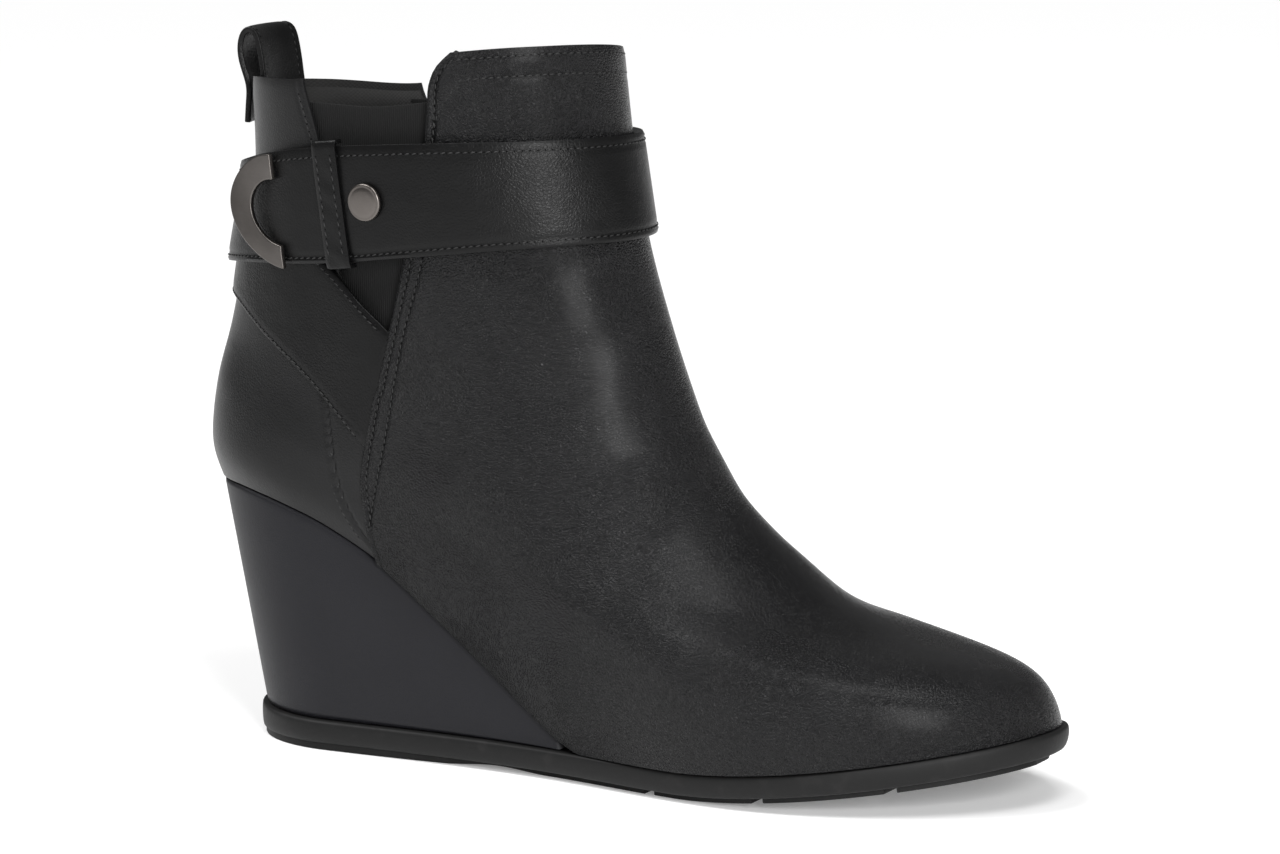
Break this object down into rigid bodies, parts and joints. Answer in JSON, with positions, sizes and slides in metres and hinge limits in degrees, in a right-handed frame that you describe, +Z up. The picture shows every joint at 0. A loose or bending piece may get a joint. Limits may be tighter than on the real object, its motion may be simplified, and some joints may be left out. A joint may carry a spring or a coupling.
{
  "type": "wedge ankle boot",
  "caption": "Black leather ankle boot on a covered wedge heel, with side elastics, an ankle strap with a metal half ring, and a back pull loop.",
  "frame": {"origin": "bottom centre of the boot's bounding box, on the floor under the sole", "axes": "+X towards the toe, +Z up, +Y towards the inner side of the right foot"},
  "size_m": [0.2604, 0.087, 0.2018],
  "materials": {
    "rubber": "matte black rubber",
    "wedge_leather": "smooth black leather cover, low gloss",
    "upper_leather": "smooth black calf leather, soft gloss",
    "strap_leather": "smooth black leather, stitched edges",
    "footbed": "matte lining leather",
    "elastic": "black ribbed elastic",
    "gunmetal": "brushed gunmetal plating"
  },
  "bodies": {
    "root": {"outsole": "rubber", "wedge": "wedge_leather", "upper": "upper_leather", "insole": "footbed", "gore_lateral": "elastic", "gore_medial": "elastic", "heel_strap": "strap_leather", "ankle_strap": "strap_leather", "strap_keeper": "strap_leather", "snap_cap": "gunmetal", "half_ring": "gunmetal", "pull_loop": "strap_leather"}
  },
  "joints": []
}
